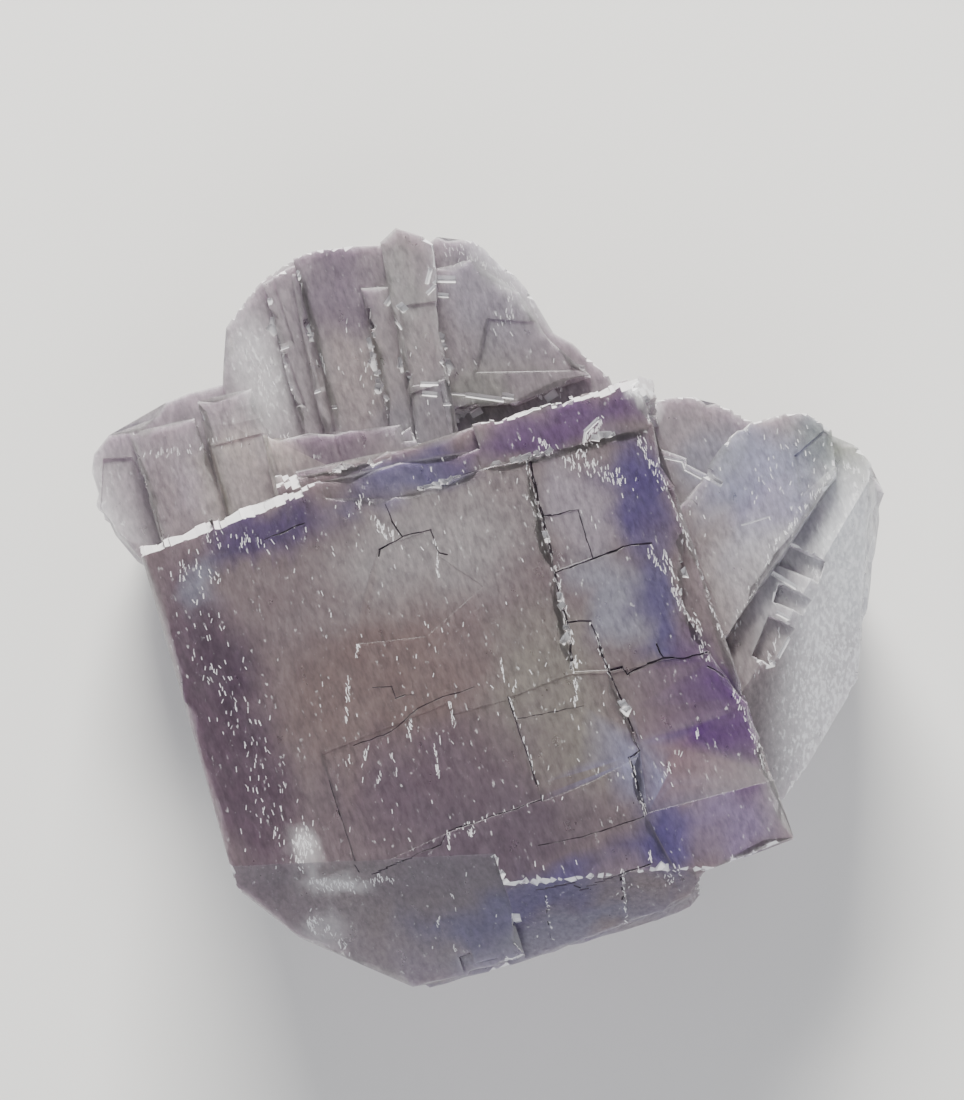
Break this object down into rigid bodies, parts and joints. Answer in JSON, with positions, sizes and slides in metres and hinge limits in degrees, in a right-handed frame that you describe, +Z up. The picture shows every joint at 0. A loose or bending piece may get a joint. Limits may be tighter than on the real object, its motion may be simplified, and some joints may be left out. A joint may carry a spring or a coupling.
{
  "type": "fluorite specimen",
  "caption": "Pale violet fluorite cubes grown together, frosted and see-through, with stepped faces, lying on a back that is cut off flat.",
  "frame": {"origin": "the middle of the cluster's bounding box, on the flat cut that it rests on", "axes": "+Z up from the cut back to the main cube's face, +X along that face's upper edge towards the right crystal, +Y up its side edges towards the crystals behind it"},
  "size_m": [0.0506, 0.0516, 0.022],
  "materials": {
    "fluorite": "frosted"
  },
  "bodies": {
    "root": {"fluorite_cluster": "fluorite"}
  },
  "joints": []
}
